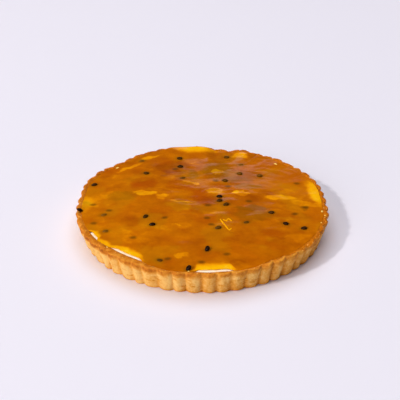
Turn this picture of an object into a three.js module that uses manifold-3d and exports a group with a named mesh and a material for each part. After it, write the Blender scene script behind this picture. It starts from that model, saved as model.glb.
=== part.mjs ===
// A round fruit tart: a fluted shortcrust shell, a filling of white cream, and an uneven layer of
// orange fruit jelly on top, with passion fruit seeds standing out of it.
// Millimetres, +Z up. The origin is the middle of the flat underside, and -Y is the front.

import * as THREE from "three";
import { mergeVertices } from "three/addons/utils/BufferGeometryUtils.js";
import Module from "manifold-3d";

const wasm = await Module();
wasm.setup();

// Driving dimensions of the pastry shell
const RIM_RADIUS = 120; // to the crest of a flute, at the rim
const BASE_RADIUS = 114.5; // to the crest of a flute, at the foot
const RIM_HEIGHT = 23;
const WALL = 5.8; // from a flute's crest to the smooth inside
const FLOOR = 4;
const FLUTES = 56;
const FLUTE_DEPTH = 3; // from a flute's crest back to the crease, where the wall is not thin
const FLUTE_VARIATION = 0.15; // how much deeper or shallower single flutes are, as a share
const CREASE_ANGLE = -90.5; // where one crease between two flutes lies, in degrees
const FOOT_ROUNDING = 1.2;
const FOOT_FLUTED = 0.85; // how much of the flutes' depth is left at the foot
const LOWER_RING = 0.38; // where the side is divided, as shares of the rim's height
const UPPER_RING = 0.66;
const SHOULDER = 2.4; // how far below the rim the flutes start to round over
const RIM_ROUNDING = 0.9;
const RIM_ROUNDING_DROP = 0.6;
const RIM_WORN = 0.8; // how much of the wear the rounding of the rim takes
const TOP_INSET = 2; // from the crest in to the highest line of the rim
const TOP_FLUTED = 0.85; // how much of the flutes' depth is left there
const INSIDE_ROUNDING = 0.7;
const CORNER = 2; // the sloping corner where the inside meets the floor
const RIM_EASE = { start: 0.3, stop: 1.4 };

// Unevenness of the hand-lined shell: slow waves round the tart, how far they move the height of the
// rim, the thickness of the wall and the crests, and how far creases and baked crags stray
const SLOW_WAVES = [
  { count: 3, share: 0.5, shift: 1 },
  { count: 7, share: 0.3, shift: 2.1 },
  { count: 13, share: 0.2, shift: 0.7 },
];
const RIM_WANDER = { size: 0.5, start: 1.3 };
const WALL_WANDER = { size: 0.4, start: 4.2 };
const FOOT_WANDER = { size: 0.3, start: 2.6 };
const CREST_WANDER = { size: 0.7, start: 2.6 };
const CREASE_WAVES = [
  { count: 19, size: 0.007, start: 0 },
  { count: 23, size: 0.005, start: 2 },
];
const CRAG_WAVES = [
  { count: 41, size: 0.16, rise: 0.9, start: 0 },
  { count: 67, size: 0.14, rise: -0.7, start: 1.7 },
];

// Driving dimensions of the filling
const GAP = 0.3; // between neighbouring pieces
const JELLY_EDGE_DROP = 0.9; // the jelly meets the pastry this far below the rim
const JELLY_DOME = 1.6; // how much higher the middle of the jelly stands than its edge
const JELLY_DEPTH = 3; // over most of the cream
const JELLY_LEAST = 0.6;
const TAPER = 15; // width of the band where the jelly thins out towards a thin edge
const TAPER_START = 1; // how far in from the jelly's edge it starts to grow thicker
const STRIP_EASE = { start: 0.7, stop: 1.2 };
const EDGE_START = 0.72; // how far out the top starts to follow the rim, as a share
const SLICE_EASE = { start: 0.1, stop: 1.25 }; // where a slice starts and stops fading
const SLICE_TILT = 0.25; // how much a slice's thick side stands above its middle
const RIPPLE = { size: 0.15, along: 0.09, across: 0.11 };

// Driving dimensions of a seed: half of its length, width and thickness
const SEED_SIZE = new THREE.Vector3(2.9, 2.1, 1.3);
const SEED_BLUNTNESS = 0.18;

// Facets: columns round the tart, the least distance between two rings where they crowd together,
// and the rings over the top as shares of the way out
const COLUMNS_PER_FLUTE = 5;
const TOP_COLUMNS = 104;
const LEAST_STEP = 0.8;
const SEED_FACETS = { round: 6, high: 4 };
const WELD = 1e-4; // vertices nearer than this are one
const CREAM_STEPS = [1, 0.985, 0.955, 0.92, 0.88, 0.8, 0.55, 0.25];
const JELLY_STEPS = [1, 0.985, 0.955, 0.91, 0.85, 0.77, 0.68, 0.59, 0.5, 0.41, 0.32, 0.22, 0.11];

// Places round the edge, in degrees, where the jelly is thin and the cream shows. spread is half the
// width of the place, bare is how much cream is left uncovered, and mound lifts cream and jelly.
const THIN_EDGES = [
  { angle: -85, spread: 9, bare: 3.8, mound: 0 },
  { angle: -127, spread: 9, bare: 3.2, mound: 0 },
  { angle: -138, spread: 17, bare: 0, mound: 0 },
  { angle: -150.5, spread: 4, bare: 2.8, mound: 0 },
  { angle: -178, spread: 11, bare: 0, mound: 0 },
  { angle: -173, spread: 8, bare: 0, mound: 0.8 },
  { angle: 97, spread: 13, bare: 0, mound: 2 },
  { angle: 69, spread: 8, bare: 0, mound: 0.5 },
  { angle: 12, spread: 15, bare: 0, mound: 0.4 },
];

// Places where the rim differs, in degrees and mm: lift raises it, wider widens its top, bulge moves
// it outwards, and worn lowers its outer edge
const RIM_CHANGES = [
  { angle: 25, spread: 15, lift: 0, wider: 0, bulge: 2.1, worn: 0 },
  { angle: 43, spread: 8, lift: 0, wider: 0, bulge: 1.3, worn: 0 },
  { angle: 50, spread: 8, lift: 0.8, wider: 0, bulge: 0, worn: 0 },
  { angle: 68, spread: 5, lift: 1, wider: 0, bulge: 0, worn: 0 },
  { angle: 80, spread: 8, lift: -2, wider: 0, bulge: 0, worn: 0 },
  { angle: 99, spread: 12, lift: 0, wider: -1.6, bulge: 0.5, worn: 0 },
  { angle: 116, spread: 14, lift: 0.8, wider: 0, bulge: 1, worn: 0 },
  { angle: 155.5, spread: 12.5, lift: 0, wider: 0.3, bulge: 5.2, worn: 0 },
  { angle: -178, spread: 18, lift: 0, wider: 0, bulge: 1.1, worn: 0 },
  { angle: -154, spread: 13, lift: 0, wider: 1.2, bulge: 1.7, worn: 1 },
  { angle: -128, spread: 17, lift: 0.3, wider: 3.4, bulge: 0, worn: 2 },
  { angle: -107, spread: 11, lift: -0.5, wider: -1, bulge: 0, worn: 0.8 },
  { angle: -71, spread: 8, lift: -0.3, wider: -1.8, bulge: 0, worn: 0 },
  { angle: -58, spread: 7, lift: 0.2, wider: 1.2, bulge: 0, worn: 0 },
  { angle: -38, spread: 14, lift: 0, wider: 0.8, bulge: 1.2, worn: 0 },
  { angle: -15, spread: 6, lift: 0, wider: 0, bulge: 0.8, worn: 0 },
  { angle: 2, spread: 8, lift: 0, wider: 0, bulge: -0.8, worn: 0 },
];

// Slices of fruit that lie just under the jelly and lift it: the middle, the turn in degrees, half
// the length, half the width, and the rise of the thick side
const SLICES = [
  { x: -52, y: 12, turn: 12, length: 25, width: 10, rise: 0.41 },
  { x: -18, y: -8, turn: -28, length: 22, width: 11, rise: 0.45 },
  { x: -30, y: 34, turn: -16, length: 24, width: 9, rise: 0.41 },
  { x: 12, y: 58, turn: 24, length: 19, width: 8, rise: 0.36 },
  { x: -62, y: 74, turn: 32, length: 24, width: 8, rise: 0.36 },
  { x: 36, y: 16, turn: -8, length: 17, width: 8, rise: 0.5 },
  { x: 8, y: 18, turn: 38, length: 12, width: 7, rise: 0.45 },
  { x: 76, y: 8, turn: -18, length: 24, width: 9, rise: 0.36 },
  { x: 16, y: -26, turn: 14, length: 21, width: 8, rise: 0.36 },
  { x: 66, y: -52, turn: 22, length: 24, width: 10, rise: 0.32 },
  { x: -24, y: -74, turn: -10, length: 22, width: 9, rise: 0.32 },
  { x: -76, y: -28, turn: -34, length: 21, width: 9, rise: 0.32 },
  { x: 22, y: -70, turn: 8, length: 24, width: 9, rise: 0.27 },
  { x: 70, y: 56, turn: -30, length: 22, width: 9, rise: 0.32 },
];

// Seeds that show above the jelly: the middle in mm, and the turn of the long side in degrees.
// A seed that is deep in the jelly makes no shape of its own and is left to the colours.
const LYING_SEEDS = [
  { x: -107, y: 36, turn: 20 },
  { x: -57, y: 58, turn: -20 },
  { x: -46, y: -40, turn: 8 },
  { x: -53, y: -26, turn: 60 },
  { x: -24, y: 90, turn: -12 },
  { x: -23, y: 72, turn: -8 },
  { x: 25, y: 96, turn: -40 },
  { x: 22, y: 42, turn: -25 },
  { x: 16, y: 10, turn: -6 },
  { x: 16, y: 2, turn: 12 },
  { x: 22, y: -5, turn: 28 },
  { x: 14, y: -46, turn: 24 },
  { x: 37, y: 57, turn: -10 },
  { x: 57, y: 53, turn: -14 },
  { x: 64, y: -19, turn: -10 },
  { x: 76, y: -38, turn: -34 },
  { x: 92, y: -45, turn: 6 },
];

const HALF_SUNK_SEEDS = [
  { x: -63, y: 86, turn: 0 },
  { x: -92, y: -22, turn: 15 },
  { x: -88, y: -49, turn: 10 },
  { x: -37, y: -96, turn: -24 },
  { x: -20, y: 48, turn: 10 },
  { x: 39, y: 77, turn: 10 },
  { x: 40, y: -36, turn: 20 },
];

const STANDING_SEEDS = [
  { x: 4, y: -81, turn: 70 },
  { x: -12, y: -109, turn: 50 },
];

// One seed leans out over the pastry rim, at the left
const RIM_SEEDS = [{ x: -115, y: -15, turn: 5 }];

// How high a seed's middle lies above the jelly, and how steeply its long side stands, in degrees
const LYING = { proud: 0.5, tilt: 6 };
const HALF_SUNK = { proud: -0.5, tilt: 2 };
const STANDING = { proud: 1.6, tilt: 32 };
const LEANING = { proud: 1.3, tilt: -24 };

const radians = THREE.MathUtils.degToRad;
const degrees = THREE.MathUtils.radToDeg;
const lerp = THREE.MathUtils.lerp;
const smooth = (value, low, high) => THREE.MathUtils.smoothstep(value, low, high);

// 1 at a place round the tart and 0 well away from it. ease says where it starts and stops falling,
// as shares of the place's spread.
function nearAngle(angle, place, ease) {
  const away = Math.abs(THREE.MathUtils.euclideanModulo(degrees(angle) - place.angle + 180, 360) - 180);
  return 1 - smooth(away, ease.start * place.spread, ease.stop * place.spread);
}

const rimChange = (angle, key) =>
  RIM_CHANGES.reduce((total, place) => total + place[key] * nearAngle(angle, place, RIM_EASE), 0);

const edgeChange = (angle, key) =>
  THIN_EDGES.reduce((total, place) => total + place[key] * nearAngle(angle, place, STRIP_EASE), 0);

// Slow unevenness round the tart
const wander = (angle, { size, start }) =>
  SLOW_WAVES.reduce((total, { count, share, shift }) => {
    return total + size * share * Math.sin(count * angle + shift * start);
  }, 0);

// The height of the rim and the thickness of the wall there
const rimHeight = (angle) => RIM_HEIGHT + wander(angle, RIM_WANDER) + rimChange(angle, "lift");
const rimWall = (angle) => WALL + wander(angle, WALL_WANDER) + rimChange(angle, "wider");

// The crest's distance from the axis at a height, a little out of round at the rim
function crestRadius(angle, z) {
  const share = z / RIM_HEIGHT;
  const straight = lerp(BASE_RADIUS, RIM_RADIUS, share);
  const uneven = lerp(wander(angle, FOOT_WANDER), wander(angle, CREST_WANDER), share);
  return straight + uneven + share * rimChange(angle, "bulge");
}

const insideRadius = (angle, z) => crestRadius(angle, z) - lerp(WALL, rimWall(angle), z / RIM_HEIGHT);

// How much of its full depth a flute has: less where the wall is thin
const fluteShare = (angle, z) => Math.min(1, lerp(WALL, rimWall(angle), z / RIM_HEIGHT) / WALL);

// A turn is a place along the flutes: whole numbers are creases. The flutes are not all equally wide.
function turnAngle(turn) {
  const round = (2 * Math.PI * turn) / FLUTES;
  const astray = CREASE_WAVES.reduce((sum, { count, size, start }) => {
    return sum + size * Math.sin(count * round + start);
  }, 0);
  return radians(CREASE_ANGLE) + round + astray;
}

// How far the outside falls back from the crest: each flute is an arc of a circle, and two arcs meet
// in a crease. No two flutes side by side are equally deep.
function fluteDrop(turn, share) {
  const across = 2 * THREE.MathUtils.euclideanModulo(turn, 1) - 1;
  const varied = 1 + FLUTE_VARIATION * Math.sin(5.3 * Math.floor(turn));
  const depth = share * varied * FLUTE_DEPTH;
  const half = (Math.PI * RIM_RADIUS) / FLUTES;
  const arc = (half * half + depth * depth) / (2 * depth);
  return arc - Math.sqrt(arc * arc - (half * across) ** 2);
}

// Small crags of the baked surface
const crags = (angle, height) =>
  CRAG_WAVES.reduce((sum, { count, size, rise, start }) => {
    return sum + size * Math.sin(count * angle + rise * height + start);
  }, 0);

// Merges doubled vertices and drops the facets that shrink to a line at a pole
function welded(geometry) {
  const bare = geometry.clone();
  bare.deleteAttribute("normal");
  bare.deleteAttribute("uv");
  const merged = mergeVertices(bare, WELD);
  const facets = [];
  for (let i = 0; i < merged.index.count; i += 3) {
    const facet = [merged.index.getX(i), merged.index.getX(i + 1), merged.index.getX(i + 2)];
    if (new Set(facet).size === 3) {
      facets.push(...facet);
    }
  }
  merged.setIndex(facets);
  return merged;
}

// A closed skin: a lathed body whose rings are then put in place. The rings run anticlockwise seen
// from above. The first closes on firstPoint and the last on lastPoint. Where the rings start at the
// top and end at the underside the skin is inside out, and inverted turns its facets round.
function closedSkin(rings, firstPoint, lastPoint, inverted = false) {
  const columns = rings[0].length;
  const profile = [firstPoint, ...rings.map((ring) => ring[0]), lastPoint].map(
    (point) => new THREE.Vector2(Math.hypot(point.x, point.y), point.z),
  );
  const skin = new THREE.LatheGeometry(profile, columns);
  const place = skin.getAttribute("position");
  for (let column = 0; column <= columns; column += 1) {
    const points = [firstPoint, ...rings.map((ring) => ring[column % columns]), lastPoint];
    points.forEach((point, step) => {
      place.setXYZ(column * points.length + step, point.x, point.y, point.z);
    });
  }
  if (inverted) {
    skin.index.array.reverse();
  }
  const whole = welded(skin);
  whole.computeVertexNormals();
  return whole;
}

const polar = (angle, radius, height) =>
  new THREE.Vector3(radius * Math.cos(angle), radius * Math.sin(angle), height);

const anglesOf = (columns) =>
  Array.from({ length: columns }, (_, column) => (2 * Math.PI * column) / columns);

// The pastry shell, from the middle of its underside out, up the flutes, over the rim and down
// the inside to the floor
function shellGeometry() {
  const turns = Array.from({ length: FLUTES * COLUMNS_PER_FLUTE }, (_, i) => i / COLUMNS_PER_FLUTE);
  const angles = turns.map(turnAngle);
  const stations = [
    { inset: FOOT_ROUNDING, height: () => 0, fluted: FOOT_FLUTED },
    { inset: 0, height: () => FOOT_ROUNDING, fluted: 1 },
    { inset: 0, height: (rim) => LOWER_RING * rim, fluted: 1 },
    { inset: 0, height: (rim) => UPPER_RING * rim, fluted: 1 },
    { inset: 0, height: (rim, worn) => rim - SHOULDER - worn, fluted: 1 },
    { inset: RIM_ROUNDING, height: (rim, worn) => rim - RIM_ROUNDING_DROP - RIM_WORN * worn, fluted: 1 },
    { inset: TOP_INSET, height: (rim) => rim, fluted: TOP_FLUTED },
  ];
  const rings = stations.map(({ inset, height, fluted }) =>
    turns.map((turn) => {
      const angle = turnAngle(turn);
      const z = height(rimHeight(angle), rimChange(angle, "worn"));
      const share = fluteShare(angle, z);
      const rough = z > 0 ? crags(angle, z) : 0;
      return polar(angle, crestRadius(angle, z) - inset * share - fluted * fluteDrop(turn, share) + rough, z);
    }),
  );
  const onWall = (angle, z, inset) => polar(angle, insideRadius(angle, z) - inset, z);
  rings.push(
    angles.map((angle) => onWall(angle, rimHeight(angle) - INSIDE_ROUNDING, 0)),
    angles.map((angle) => onWall(angle, FLOOR + CORNER, 0)),
    angles.map((angle) => onWall(angle, FLOOR, CORNER)),
  );
  return closedSkin(rings, new THREE.Vector3(0, 0, 0), new THREE.Vector3(0, 0, FLOOR));
}

// How wide a strip of cream the jelly leaves bare
const bareWidth = (angle) => edgeChange(angle, "bare");

// How thin the jelly is at a place near the edge: 1 at the edge of a thin place, 0 elsewhere
function thinness(angle, radius) {
  const near = THIN_EDGES.reduce((most, place) => Math.max(most, nearAngle(angle, place, STRIP_EASE)), 0);
  return near * (1 - smooth(fillRadius(angle) - bareWidth(angle) - radius, TAPER_START, TAPER));
}

// Where the top of the filling meets the pastry: the height, and the distance from the axis
const edgeHeight = (angle) => rimHeight(angle) - JELLY_EDGE_DROP + edgeChange(angle, "mound");
const fillRadius = (angle, z = edgeHeight(angle)) => insideRadius(angle, z) - GAP;

// How much a slice lifts the jelly at a point. The slice is thick along one long side.
function sliceRise(slice, x, y) {
  const turn = radians(slice.turn);
  const along = ((x - slice.x) * Math.cos(turn) + (y - slice.y) * Math.sin(turn)) / slice.length;
  const across = ((y - slice.y) * Math.cos(turn) - (x - slice.x) * Math.sin(turn)) / slice.width;
  const inside = 1 - smooth(Math.hypot(along, across), SLICE_EASE.start, SLICE_EASE.stop);
  return slice.rise * inside * (1 - SLICE_TILT + SLICE_TILT * across);
}

// The level of the filling's top, apart from what lies in the jelly
function fillHeight(angle, radius) {
  const share = radius / fillRadius(angle);
  const domed = RIM_HEIGHT - JELLY_EDGE_DROP + JELLY_DOME * (1 - share * share);
  return lerp(domed, edgeHeight(angle), smooth(share, EDGE_START, 1));
}

// The top of the jelly, with the slices that lift it and small ripples
function jellyTop(angle, radius) {
  const [x, y] = [radius * Math.cos(angle), radius * Math.sin(angle)];
  const lifted = SLICES.reduce((most, slice) => Math.max(most, sliceRise(slice, x, y)), 0);
  const ripple = RIPPLE.size * Math.sin(RIPPLE.along * x) * Math.cos(RIPPLE.across * y);
  return fillHeight(angle, radius) + lifted + ripple;
}

// The top of the cream, which rises towards the surface where the jelly is thin
const creamTop = (angle, radius) =>
  fillHeight(angle, radius) - GAP - lerp(JELLY_DEPTH, JELLY_LEAST, thinness(angle, radius));

// Rings over the top from its edge inwards, one for each share of the way out from the axis. bareOf
// is the width left free along the edge, where the outer rings crowd together.
const topRings = (angles, shares, edgeOf, heightOf, bareOf = () => 0) =>
  shares.map((share, step) =>
    angles.map((angle) => {
      const edge = edgeOf(angle);
      const radius = Math.min(share * edge, edge - bareOf(angle) - step * LEAST_STEP);
      return polar(angle, radius, heightOf(angle, radius));
    }),
  );

// Where the top of the cream meets the pastry
const creamEdge = (angle) => fillRadius(angle, creamTop(angle, fillRadius(angle)));

// The cream fills the shell from its floor to just under the jelly
function creamGeometry() {
  const angles = anglesOf(TOP_COLUMNS);
  const floor = FLOOR + GAP;
  const rings = [
    angles.map((angle) => polar(angle, fillRadius(angle, floor) - CORNER, floor)),
    angles.map((angle) => polar(angle, fillRadius(angle, floor + CORNER), floor + CORNER)),
    ...topRings(angles, CREAM_STEPS, creamEdge, creamTop),
  ];
  return closedSkin(rings, new THREE.Vector3(0, 0, floor), new THREE.Vector3(0, 0, creamTop(0, 0)));
}

// The jelly over the cream, which stops short of the pastry where cream is left bare. Its rings run
// from the top down, so that the facets of its underside lie just over those of the cream.
function jellyGeometry() {
  const angles = anglesOf(TOP_COLUMNS);
  const under = (angle, radius) => creamTop(angle, radius) + GAP;
  const rings = [
    ...topRings(angles, JELLY_STEPS, fillRadius, jellyTop, bareWidth).toReversed(),
    ...topRings(angles, CREAM_STEPS, creamEdge, under, bareWidth),
  ];
  const middle = (height) => new THREE.Vector3(0, 0, height);
  return closedSkin(rings, middle(jellyTop(0, 0)), middle(under(0, 0)), true);
}

// A seed is a flattened egg shape, blunt at one end, set in the surface below it
function seedGeometry(seed, pose, surface) {
  const geometry = new THREE.SphereGeometry(1, SEED_FACETS.round, SEED_FACETS.high);
  const place = geometry.getAttribute("position");
  for (let i = 0; i < place.count; i += 1) {
    const along = place.getX(i);
    place.setXYZ(i, along, place.getY(i) * (1 + SEED_BLUNTNESS * along), place.getZ(i));
  }
  const turn = new THREE.Euler(0, radians(-pose.tilt), radians(seed.turn), "ZYX");
  const where = new THREE.Vector3(seed.x, seed.y, surface + pose.proud);
  const matrix = new THREE.Matrix4().compose(where, new THREE.Quaternion().setFromEuler(turn), SEED_SIZE);
  return geometry.applyMatrix4(matrix);
}

function solidOf(geometry) {
  const merged = welded(geometry);
  const mesh = new wasm.Mesh({
    numProp: 3,
    vertProperties: new Float32Array(merged.getAttribute("position").array),
    triVerts: new Uint32Array(merged.index.array),
  });
  return new wasm.Manifold(mesh);
}

function geometryOf(solid) {
  const { vertProperties, numProp, triVerts } = solid.getMesh();
  const points = [];
  for (let i = 0; i < vertProperties.length; i += numProp) {
    points.push(new THREE.Vector3().fromArray(vertProperties, i));
  }
  const geometry = new THREE.BufferGeometry().setFromPoints(points);
  geometry.setIndex(Array.from(triVerts));
  geometry.computeVertexNormals();
  return geometry;
}

// One solid of the jelly and the seeds that lie in its surface
function jellyWithSeeds() {
  const groups = [
    [LYING_SEEDS, LYING],
    [HALF_SUNK_SEEDS, HALF_SUNK],
    [STANDING_SEEDS, STANDING],
    [RIM_SEEDS, LEANING],
  ];
  let joined = solidOf(jellyGeometry());
  for (const [seeds, pose] of groups) {
    for (const seed of seeds) {
      const surface = jellyTop(Math.atan2(seed.y, seed.x), Math.hypot(seed.x, seed.y));
      joined = joined.add(solidOf(seedGeometry(seed, pose, surface)));
    }
  }
  return geometryOf(joined);
}

function piece(name, geometry, color, roughness) {
  const material = new THREE.MeshStandardMaterial({ color, roughness, metalness: 0 });
  const mesh = new THREE.Mesh(geometry, material);
  mesh.name = name;
  return mesh;
}

const tart = new THREE.Group();
tart.add(piece("pastry_shell", shellGeometry(), 0xd99a4e, 0.8));
tart.add(piece("cream", creamGeometry(), 0xfff0d8, 0.5));
tart.add(piece("fruit_jelly", jellyWithSeeds(), 0xd27a06, 0.15));

export default tart;
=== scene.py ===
"""A round fruit tart: fluted pastry, white cream and orange passion fruit jelly with seeds."""

import logging
import math
import random
from collections.abc import Callable, Sequence
from dataclasses import dataclass, field
from enum import Enum
from typing import Any

import bpy
import numpy as np
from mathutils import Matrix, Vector, noise


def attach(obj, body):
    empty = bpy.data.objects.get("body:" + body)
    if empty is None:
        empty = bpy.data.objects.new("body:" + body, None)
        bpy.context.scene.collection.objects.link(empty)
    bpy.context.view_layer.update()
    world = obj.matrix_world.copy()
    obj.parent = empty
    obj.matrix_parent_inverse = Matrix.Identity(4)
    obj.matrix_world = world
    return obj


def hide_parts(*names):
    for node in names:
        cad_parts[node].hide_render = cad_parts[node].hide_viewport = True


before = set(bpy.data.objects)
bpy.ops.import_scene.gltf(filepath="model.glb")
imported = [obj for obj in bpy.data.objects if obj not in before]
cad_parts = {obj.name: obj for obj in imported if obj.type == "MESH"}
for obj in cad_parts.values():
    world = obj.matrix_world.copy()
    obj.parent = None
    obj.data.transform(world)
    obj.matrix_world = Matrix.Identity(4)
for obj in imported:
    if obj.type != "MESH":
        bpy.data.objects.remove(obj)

log = logging.getLogger("tart")

MM = 0.001
ABOVE = 60.0
BODY = "root"
Numbers = np.ndarray
Colour = tuple[float, float, float, float]
Object = bpy.types.Object
Material = bpy.types.Material
Socket = bpy.types.NodeSocket


class Shading(Enum):
    """How the faces of a piece are shaded."""

    SMOOTH = "shade_smooth"
    FLAT = "shade_flat"


def linear(*channels: int) -> Colour:
    """Turns red, green and blue as seen on a screen, 0 to 255, into the scene's values."""
    parts = [channel / 255 for channel in channels]
    return (*(p / 12.92 if p <= 0.04045 else ((p + 0.055) / 1.055) ** 2.4 for p in parts), 1.0)


def smooth(value: Numbers, low: float, high: float) -> Numbers:
    """Eases from 0 at low to 1 at high."""
    share = np.clip((value - low) / (high - low), 0.0, 1.0)
    return share * share * (3 - 2 * share)


def blend(low: Numbers, high: Numbers, share: Numbers) -> Numbers:
    """Goes in a straight line from low to high as share goes from 0 to 1."""
    return low + (high - low) * share


def rough(points: Numbers, size: float, octaves: int, start: float) -> Numbers:
    """Gives unevenness with features of a size in mm, about -1 to 1; each start gives another."""
    shift = Vector((start, 1.7 * start, 2.3 * start))
    return np.array([noise.fractal(Vector(p) / size + shift, 1.0, 2.1, octaves) for p in points])


def ring(angle: Numbers, radius: Numbers, z: Numbers | float) -> Numbers:
    """Gives a ring of points from its angles, distances and heights."""
    return np.stack([radius * np.cos(angle), radius * np.sin(angle), z + 0 * angle], 1)


def polar(points: Numbers) -> tuple[Numbers, Numbers]:
    """Gives the angle of points round the axis and their distance from it."""
    return np.arctan2(points[:, 1], points[:, 0]), np.hypot(points[:, 0], points[:, 1])


@dataclass(frozen=True)
class Ease:
    """Where a place round the tart starts and stops fading, as shares of its spread."""

    start: float
    stop: float


@dataclass(frozen=True)
class Place:
    """A place round the tart: its angle and spread in degrees."""

    angle: float
    spread: float

    def near(self, angle: Numbers, ease: Ease) -> Numbers:
        """Says how near angles in radians are: 1 at the place and 0 well away from it."""
        away = np.abs((np.degrees(angle) - self.angle + 180) % 360 - 180)
        return 1 - smooth(away, ease.start * self.spread, ease.stop * self.spread)


@dataclass(frozen=True)
class ThinEdge(Place):
    """A place where the jelly's edge is thin: width of bare cream and height of mound in mm."""

    bare: float = 0.0
    mound: float = 0.0


@dataclass(frozen=True)
class Glow(Place):
    """A place at the edge where cream shines through the jelly: width in mm and strength."""

    wide: float
    strength: float
    ease: Ease = Ease(0.3, 1.35)


@dataclass(frozen=True)
class RimChange(Place):
    """A place where the rim is higher, wider, pushed out or worn, in mm."""

    lift: float = 0.0
    wider: float = 0.0
    bulge: float = 0.0
    worn: float = 0.0


@dataclass(frozen=True)
class Oval:
    """A level oval: middle in mm, turn in degrees, half length and half width in mm."""

    x: float
    y: float
    turn: float
    length: float
    width: float

    def place(self, x: Numbers, y: Numbers) -> tuple[Numbers, Numbers]:
        """Finds where points lie in the oval.

        Args:
            x: The points' x in mm.
            y: The points' y in mm.

        Returns:
            How far out they lie, 1 at the oval's edge, and their place across it, -1 to 1.
        """
        turn = math.radians(self.turn)
        along = ((x - self.x) * math.cos(turn) + (y - self.y) * math.sin(turn)) / self.length
        across = ((y - self.y) * math.cos(turn) - (x - self.x) * math.sin(turn)) / self.width
        return np.hypot(along, across), across


@dataclass(frozen=True)
class Slice(Oval):
    """A slice or flake of fruit in the jelly: its rise in mm or its change of tone."""

    rise: float


@dataclass(frozen=True)
class Patch(Oval):
    """A field in the jelly: its change of tone, olive, softness of the edge and red."""

    tone: float = 0.0
    olive: float = 0.0
    edge: float = 0.25
    red: float = 0.0

    def strength(self, x: Numbers, y: Numbers) -> Numbers:
        """Says how strongly the patch colours each point, from 0 to 1."""
        return 1 - smooth(self.place(x, y)[0], 1 - self.edge, 1 + self.edge)


@dataclass(frozen=True)
class Wave:
    """A wave round the tart: its size, how often it comes, and its shift."""

    size: float
    count: int
    shift: float

    def at(self, angle: Numbers, start: float = 1.0) -> Numbers:
        """Gives the wave at each angle, with its shift multiplied by start."""
        return self.size * np.sin(self.count * angle + self.shift * start)


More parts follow.
